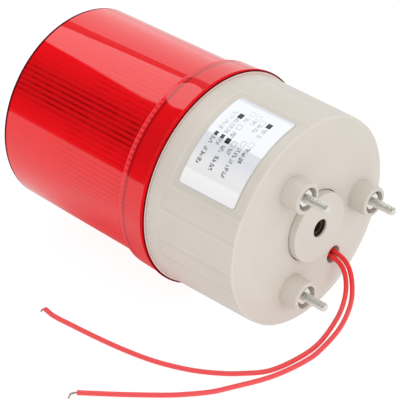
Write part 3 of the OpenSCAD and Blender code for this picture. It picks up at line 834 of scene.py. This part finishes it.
@dataclass(frozen=True)
class PhotoView:
    """The camera at the photograph's place, with the photograph's frame."""

    name: str = "photo_view"
    place: Point = (0.354202, -0.453055, 0.410521)
    azimuth: float = math.radians(43.454)
    elevation: float = math.radians(34.554)
    focal_px: float = 1684.25
    frame_px: tuple[int, int] = (400, 403)
    clip_start: float = 10 * MM

    def build(self) -> None:
        """Makes the camera and gives it to the scene."""
        camera = bpy.data.cameras.new(self.name)
        camera.lens = self.focal_px * camera.sensor_width / max(self.frame_px)
        camera.clip_start = self.clip_start
        level = math.cos(self.elevation)
        across = math.sin(self.azimuth) * level
        back = math.cos(self.azimuth) * level
        look = Vector((-across, back, -math.sin(self.elevation)))
        bpy.context.scene.camera = aim(self.name, camera, self.place, look)


@dataclass(frozen=True)
class Softbox:
    """A square soft light."""

    name: str = "right_softbox"
    place: Point = (0.85, -0.25, 0.35)
    target: Point = (-0.03, 0.0, 0.0)
    size: float = 0.8
    radiance: float = 0.8

    def build(self) -> None:
        """Makes the light, facing its target."""
        light = bpy.data.lights.new(self.name, "AREA")
        light.shape = "SQUARE"
        light.size = self.size
        light.energy = self.radiance * self.size ** 2 * math.pi
        aim(self.name, light, self.place, Vector(self.target) - Vector(self.place))


@dataclass(frozen=True)
class Studio:
    """A white table in front of a white backdrop, under a round softbox in a dark room.

    The softbox, the wall and the backdrop are seen in reflections, by the way that a reflection goes.
    """

    floor_z: float
    floor_half: float = 1.2
    floor_glow: float = 0.92
    floor_white: Colour = (1.0, 1.0, 1.0)
    floor_colour: Colour = (0.16, 0.16, 0.16)
    far_light: float = 0.78
    # painted light: a pool of red near the lens, seen only in reflections
    painted_red_glow: Colour = (0.80, 0.17, 0.18)
    red_middle: Range = (-0.105, 0.0)
    red_half: Range = (0.05, 0.06)
    red_reach: Range = (1.5, 0.6)
    ambient: float = 1.15
    dark_room: float = 0.03
    wall: float = 0.35
    wall_reach: Range = (-0.35, -0.08)
    softbox: float = 2.2
    softbox_middle: Range = (-0.4505, 0.295)
    softbox_edge: Range = (0.58, 0.55)
    lowest: float = 0.05
    backdrop: float = 1.42
    backdrop_side: float = -0.716
    backdrop_rise: float = 1.5295
    backdrop_edge: Range = (-0.02, 0.03)
    light: Softbox = Softbox()

    def build(self) -> None:
        """Makes the table, the surroundings and the light."""
        bpy.context.scene.view_settings.view_transform = "Standard"
        self._floor()
        self._surroundings()
        self.light.build()
        LOG.info("studio: table, backdrop and softboxes")

    def _floor(self) -> None:
        """Makes the table top, which glows a little so that it stays white and keeps a soft shadow, with
        painted red light near the lens.
        """
        bpy.ops.object.select_all(action="DESELECT")
        bpy.ops.mesh.primitive_plane_add(size=2 * self.floor_half, location=(0, 0, self.floor_z))
        floor = bpy.context.object
        floor.name = "table_top"
        material = bpy.data.materials.new("white_table")
        material.use_nodes = True
        graph = Graph(material.node_tree)
        place = graph.add("SeparateXYZ", graph.add("TexCoord").outputs["Object"])
        away = graph.length(*(graph.maths("DIVIDE", graph.minus(at, middle), half) for at, middle, half
                              in zip(place.outputs, self.red_middle, self.red_half)))
        path = graph.add("LightPath")
        # painted red light near the lens, for reflections only
        mirrored = graph.times(graph.ramp(away, *self.red_reach), path.outputs["Is Glossy Ray"])
        shade = graph.most(path.outputs["Is Camera Ray"], self.far_light)
        tint = graph.layers(rgba(self.floor_white), (mirrored, self.painted_red_glow))
        glow = graph.add("Emission", tint, graph.times(shade, self.floor_glow))
        matt = graph.add("BsdfDiffuse", rgba(self.floor_colour))
        both = graph.add("AddShader", glow.outputs[0], matt.outputs[0])
        graph.add("OutputMaterial", both.outputs[0])
        floor.data.materials.append(material)

    def _reflected(self, graph: Graph) -> NodeSocket:
        """Gives what polished surfaces mirror: the room, the backdrop up to its top edge, and the softbox.

        Args:
            graph: The world's graph.

        Returns:
            The strength of the light.
        """
        way = graph.add("TexCoord").outputs["Generated"]
        x, y, z = graph.add("SeparateXYZ", way).outputs
        height = graph.most(z, self.lowest)
        off = graph.length(*(graph.minus(graph.maths("DIVIDE", side, height), middle)
                             for side, middle in zip((x, y), self.softbox_middle)))
        behind = graph.maths("MULTIPLY_ADD", x, self.backdrop_side, y)
        under_edge = graph.maths("MULTIPLY_ADD", z, -self.backdrop_rise, behind)
        room = graph.ramp(under_edge, *self.wall_reach, self.dark_room, self.wall)
        above = graph.ramp(off, *self.softbox_edge, room, self.softbox)
        return graph.ramp(under_edge, *self.backdrop_edge, above, self.backdrop)

    def _surroundings(self) -> None:
        """Makes the world: even soft light, white to the camera, with the studio seen in reflections."""
        world = bpy.data.worlds.new("studio")
        bpy.context.scene.world = world
        world.use_nodes = True
        graph = Graph(world.node_tree)
        path = graph.add("LightPath")
        glossy = path.outputs["Is Glossy Ray"]
        white = graph.most(path.outputs["Is Camera Ray"], path.outputs["Is Transmission Ray"])
        soft = graph.times(graph.minus(1.0, glossy), self.ambient)
        lit = graph.maths("MULTIPLY_ADD", glossy, self._reflected(graph), soft)
        background = graph.put(graph.add("Background"), Strength=graph.most(lit, white))
        graph.add("OutputWorld", background.outputs[0])


def select(pieces: list[Object]) -> None:
    """Selects some pieces and nothing else, with the first one active.

    Args:
        pieces: The pieces.
    """
    bpy.ops.object.select_all(action="DESELECT")
    for piece in pieces:
        piece.select_set(True)
    bpy.context.view_layer.objects.active = pieces[0]


def fit(piece: Object, finish: Material, node: str) -> None:
    """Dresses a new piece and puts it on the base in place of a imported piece.

    Args:
        piece: The new piece.
        finish: Its finish.
        node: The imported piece.
    """
    piece.data.materials.clear()
    piece.data.materials.append(finish)
    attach(piece, Body.BASE.value)
    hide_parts(node)


@dataclass(frozen=True)
class Lead:
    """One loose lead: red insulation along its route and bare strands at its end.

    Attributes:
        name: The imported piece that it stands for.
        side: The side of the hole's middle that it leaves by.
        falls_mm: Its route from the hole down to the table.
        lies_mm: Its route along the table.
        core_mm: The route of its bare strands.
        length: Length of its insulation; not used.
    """

    name: str
    side: float
    falls_mm: tuple[Point, ...]
    lies_mm: tuple[Range, ...]
    core_mm: tuple[Point, ...]
    length: float
    table_mm: float = -49.4
    diameter: float = 2.2 * MM
    pitch: float = 2.6 * MM
    hole_radius: float = 27 * MM
    hole_turn: float = math.radians(148)
    hole_x: float = -9 * MM
    board_x: float = -26 * MM
    stub: float = 0.7 * MM
    strand_count: int = 7
    strand_diameter: float = 0.3 * MM
    strand_steps: int = 6
    strand_rounds: int = 2
    lay_length: float = 5.0 * MM

    def exit(self) -> Vector:
        """Finds where the lead leaves the hole in the floor.

        Returns:
            The place.
        """
        out = Vector((0, math.sin(self.hole_turn), math.cos(self.hole_turn)))
        beside = Vector((0, math.cos(self.hole_turn), -math.sin(self.hole_turn)))
        return Vector((self.hole_x, 0, 0)) + out * self.hole_radius + beside * self.side * self.pitch / 2

    def route(self) -> list[Vector]:
        """Lays the insulation from the board to the stripped end.

        Returns:
            The points that it follows.
        """
        inside = self.exit() + Vector((self.board_x - self.hole_x, 0, 0))
        points = [*self.falls_mm, *((x, y, self.table_mm) for x, y in self.lies_mm)]
        return [inside, self.exit(), *(Vector(point) * MM for point in points)]

    def core(self) -> list[Vector]:
        """Lays the bare strands from the stripped end.

        Returns:
            The points that they follow, with points between them.
        """
        before, end = self.route()[-2:]
        way = (end - before).normalized()
        points = [end, end + way * self.stub / 2, end + way * self.stub]
        points += [Vector(point) * MM for point in self.core_mm]
        line = [first.lerp(second, step / self.strand_steps) for first, second in zip(points, points[1:])
                for step in range(self.strand_steps)]
        return [*line, points[-1]]

    @staticmethod
    def _curve(name: str, points: list[Vector], radius: float, steps: int = 8, rounds: int = 5) -> Object:
        """Makes a round smooth curve, whose handles reach a sixth of the way between a point's neighbours.

        Args:
            name: The object's name.
            points: The points that it goes through.
            radius: Radius of the round section.
            steps: Straight pieces from one point to the next.
            rounds: Fineness of the round section.

        Returns:
            The curve's object.
        """
        data = bpy.data.curves.new(name, "CURVE")
        data.dimensions = "3D"
        data.bevel_depth = radius
        data.bevel_resolution = rounds
        data.resolution_u = steps
        data.use_fill_caps = True
        spline = data.splines.new("BEZIER")
        spline.bezier_points.add(len(points) - 1)
        ends = [2 * points[0] - points[1], *points, 2 * points[-1] - points[-2]]
        for knot, before, point, after in zip(spline.bezier_points, ends, points, ends[2:]):
            reach = (after - before) / 6
            knot.handle_left_type = knot.handle_right_type = "FREE"
            knot.co = point
            knot.handle_left = point - reach
            knot.handle_right = point + reach
        obj = bpy.data.objects.new(name, data)
        bpy.context.scene.collection.objects.link(obj)
        return obj

    def _twisted(self, number: int) -> list[Vector]:
        """Winds one strand about the first, which is straight.

        Args:
            number: Which strand it is.

        Returns:
            The points that it follows.
        """
        line = self.core()
        ring = self.strand_diameter if number else 0.0
        travelled = 0.0
        turned = []
        for before, point, after in zip([line[0], *line], line, [*line[1:], line[-1]]):
            travelled += (point - before).length
            side = (after - before).cross(Vector((0, 0, 1))).normalized()
            over = side.cross(after - before).normalized()
            angle = math.tau * (number / (self.strand_count - 1) + travelled / self.lay_length)
            turned.append(point + (side * math.cos(angle) + over * math.sin(angle)) * ring)
        return turned

    def strands(self) -> Object:
        """Makes the twisted bare strands as one mesh.

        Returns:
            The strands' object.
        """
        select([self._curve(f"{self.name}_strand_{number}", self._twisted(number), self.strand_diameter / 2,
                            self.strand_rounds, self.strand_rounds) for number in range(self.strand_count)])
        bpy.ops.object.convert(target="MESH")
        bpy.ops.object.join()
        bpy.context.object.name = f"{self.name}_strands"
        return bpy.context.object

    def build(self, insulation: Material, copper: Material) -> None:
        """Makes the lead, dresses it and gives it to its body.

        Args:
            insulation: Finish of the insulation.
            copper: Finish of the strands.
        """
        cord = self._curve(f"{self.name}_insulation", self.route(), self.diameter / 2)
        fit(cord, insulation, self.name)
        strands = self.strands()
        fit(strands, copper, f"{self.name}_end")
        LOG.info("%s: insulation and strands", self.name)


LEAD_A = Lead(
    "lead_a", 1.0,
    ((-2, 12.8, -26.4), (2, 10.5, -32.5), (4, 6.5, -39), (4.9, 0.4, -44.6), (6.1, -11.5, -48.8)),
    ((5.7, -24.4), (2.3, -39), (-5.5, -49), (-12.5, -55.3), (-20.5, -60.7), (-29.5, -65.1), (-39.5, -68.7),
     (-52.5, -71.7), (-66.5, -73.9), (-78.6, -75.3), (-90.6, -76.5), (-97, -75.8)),
    ((-98, -76.7, -49.7), (-97.8, -77.9, -49.9)),
    length=0.2002,
)
LEAD_B = Lead(
    "lead_b", -1.0,
    ((-1.3, 15, -25.2), (3.6, 12.6, -32), (7, 7.6, -39), (8.9, -1.8, -45.4), (9.6, -15.9, -48.9)),
    ((9.1, -24.4), (7.7, -33), (5.7, -40.7), (2.9, -47.8), (-1.5, -56.7), (-5.9, -65.2), (-12.1, -73.3),
     (-18.8, -80.5), (-30.5, -91.1), (-38.5, -97.9), (-46.2, -104.3)),
    ((-47.9, -106.4, -49.7), (-47.4, -107.6, -49.9), (-46.7, -108.7, -49.9)),
    length=0.1784,
)


@dataclass(frozen=True)
class StudSet:
    """Three machine screws that stand out of the bosses, with their threads."""

    circle: float = 59 * MM
    count: int = 3
    radius: float = 2.0 * MM
    shank_radius: float = 1.75 * MM
    out: float = 10.5 * MM
    tip: float = 0.5 * MM
    nut_sink: float = 1.0 * MM
    head_x: float = -14.5 * MM
    head_radius: float = 4.0 * MM
    head_height: float = 2.8 * MM
    head_side: float = 0.5
    head_crown: float = 0.35
    thread_pitch: float = 0.7 * MM
    thread_depth: float = 0.2 * MM
    thread_steep: float = 1.35
    thread_flat: float = 0.15
    sides: int = 24
    rings_to_a_pitch: int = 6
    smooth_angle: float = math.radians(35)

    def _stud(self) -> Object:
        """Models one screw on the X axis: a ringed rod with a helical thread, a shank and a round head.

        Returns:
            The screw's object.
        """
        length = self.out - self.head_x + self.head_height
        bpy.ops.object.select_all(action="DESELECT")
        bpy.ops.mesh.primitive_cylinder_add(vertices=self.sides, radius=self.radius, depth=length,
                                            rotation=(0, math.pi / 2, 0),
                                            location=(self.out - length / 2, 0, 0))
        bpy.ops.object.transform_apply(location=True, rotation=True, scale=True)
        stud = bpy.context.object
        stud.name = "threaded_studs"
        mesh = stud.data
        bpy.ops.object.mode_set(mode="EDIT")
        bpy.ops.mesh.select_mode(type="EDGE")
        bpy.ops.mesh.select_all(action="DESELECT")
        bpy.ops.object.mode_set(mode="OBJECT")
        for edge in mesh.edges:
            first, second = (mesh.vertices[index].co for index in edge.vertices)
            edge.select = abs(first.x - second.x) > length / 2
        bpy.ops.object.mode_set(mode="EDIT")
        bpy.ops.mesh.subdivide(number_cuts=round(length / self.thread_pitch * self.rings_to_a_pitch))
        bpy.ops.object.mode_set(mode="OBJECT")
        for vertex in mesh.vertices:
            spoke = Vector((0, vertex.co.y, vertex.co.z))
            radius = self._radius_at(vertex.co.x, math.atan2(spoke.y, spoke.z))
            vertex.co = Vector((vertex.co.x, 0, 0)) + spoke.normalized() * radius
        bpy.ops.object.shade_smooth_by_angle(angle=self.smooth_angle)
        return stud

    def _radius_at(self, x: float, turn: float) -> float:
        """Gives the screw's radius at a place.

        Args:
            x: Place along the axis.
            turn: Angle about the axis.

        Returns:
            The radius there.
        """
        if x < self.head_x:
            rise = min(1.0, (x - self.head_x + self.head_height) / (self.head_side * self.head_height))
            return self.head_radius * math.sqrt(1.0 - self.head_crown * (1.0 - rise) ** 2)
        if x < -self.nut_sink:
            return self.shank_radius
        phase = (x / self.thread_pitch - turn / math.tau) % 1.0
        groove = self.thread_steep * (1.0 - abs(2.0 * phase - 1.0)) - self.thread_flat
        chamfer = self.radius - self.tip + (self.out - x)
        return min(self.radius - self.thread_depth * min(1.0, max(0.0, groove)), chamfer)

    def build(self, zinc: Material) -> None:
        """Models one screw, copies it round the circle and joins the copies.

        Args:
            zinc: Finish of the screws.
        """
        first = self._stud()
        studs = [first]
        for _ in range(self.count - 1):
            copy = first.copy()
            copy.data = first.data.copy()
            bpy.context.scene.collection.objects.link(copy)
            studs.append(copy)
        for number, stud in enumerate(studs):
            turn = ROLL + number * math.tau / self.count
            shift = Vector((0, math.sin(turn), math.cos(turn))) * self.circle / 2
            for vertex in stud.data.vertices:
                vertex.co += shift
        select(studs)
        bpy.ops.object.join()
        fit(first, zinc, "mounting_screws")
        LOG.info("threaded studs: %d", self.count)


WORN_BY = (
    (LensFinish(), ("lens",)),
    (HousingFinish(), ("base_housing", "sounder_cap")),
    (LabelFinish(), ("label",)),
    (InsulationFinish(), ("lamp_wires",)),
    (MetalFinish("bright_zinc", (0.96, 0.95, 0.93), (0.94, 0.92, 0.86), 0.3), ("stud_washers", "stud_nuts")),
    (MetalFinish("zinc_plate", (0.82, 0.80, 0.75), (0.80, 0.77, 0.69), 0.36, metallic=0.6),
     ("board_screws", "lamp_plate_screws", "column_screws")),
    (MetalFinish("tinned_pins", (0.76, 0.76, 0.75), (0.70, 0.70, 0.69), 0.3), ("sounder_pins",)),
    (MetalFinish("bare_strands", (0.70, 0.58, 0.50), (0.62, 0.60, 0.57), 0.32, 6000.0), ()),
    (Finish("black_rubber", (0.03, 0.03, 0.03), (0.045, 0.045, 0.045), 0.7, 1800.0), ("lens_gasket",)),
    (Finish("black_plastic", (0.03, 0.03, 0.03), (0.04, 0.04, 0.042), 0.45),
     ("bridge_rectifier", "flasher_chip")),
    (Finish("brown_plastic", (0.04, 0.018, 0.010), (0.055, 0.026, 0.015), 0.45), ("sounder_unit",)),
    (Finish("green_board", (0.03, 0.16, 0.07), (0.02, 0.12, 0.05), 0.35, 1500.0, 0.01 * MM, 0.4),
     ("power_board",)),
    (Finish("red_film", (0.42, 0.03, 0.02), (0.36, 0.02, 0.02), 0.25, 900.0, coat=0.5), ("film_capacitor",)),
    (Finish("blue_sleeve", (0.02, 0.03, 0.08), (0.03, 0.04, 0.10), 0.3, 900.0, 0.01 * MM, 0.3),
     ("smoothing_capacitor",)),
    (Finish("tan_lacquer", (0.58, 0.42, 0.24), (0.50, 0.36, 0.20), 0.3, 1200.0), ("resistors",)),
    (Finish("white_plastic", (0.80, 0.79, 0.75), (0.76, 0.75, 0.70), 0.4, 2200.0),
     ("lamp_header", "lamp_plate", "led_column")),
    (Finish("white_board", (0.85, 0.85, 0.82), (0.80, 0.80, 0.78), 0.35, 1500.0), ("led_boards",)),
    (Finish("yellow_emitter", (0.88, 0.72, 0.18), (0.80, 0.62, 0.12), 0.2, 3000.0, 0.01 * MM, 0.5),
     ("leds",)),
)


@dataclass
class Finishes:
    """The materials of the beacon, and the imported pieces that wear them."""

    made: dict[str, Material] = field(default_factory=dict)

    def build(self) -> None:
        """Makes every material."""
        effects = Effects()
        for finish, _ in WORN_BY:
            self.made[finish.name] = finish.make(effects)
        LOG.info("finishes: %d", len(self.made))

    def dress(self) -> None:
        """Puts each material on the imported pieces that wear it."""
        for finish, nodes in WORN_BY:
            for node in nodes:
                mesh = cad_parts[node].data
                mesh.materials.clear()
                mesh.materials.append(self.made[finish.name])
            LOG.info("%s: %s", finish.name, ", ".join(nodes) or "new pieces")


def main() -> None:
    """Builds the studio and the pieces in order."""
    logging.basicConfig(level=logging.INFO, format="%(name)s: %(message)s")
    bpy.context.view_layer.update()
    PhotoView().build()
    finishes = Finishes()
    finishes.build()
    for lead in (LEAD_A, LEAD_B):
        lead.build(finishes.made["lead_insulation"], finishes.made["bare_strands"])
    StudSet().build(finishes.made["zinc_plate"])
    finishes.dress()
    Studio(floor_z=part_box("lens")[0].z).build()


if __name__ == "__main__":
    main()
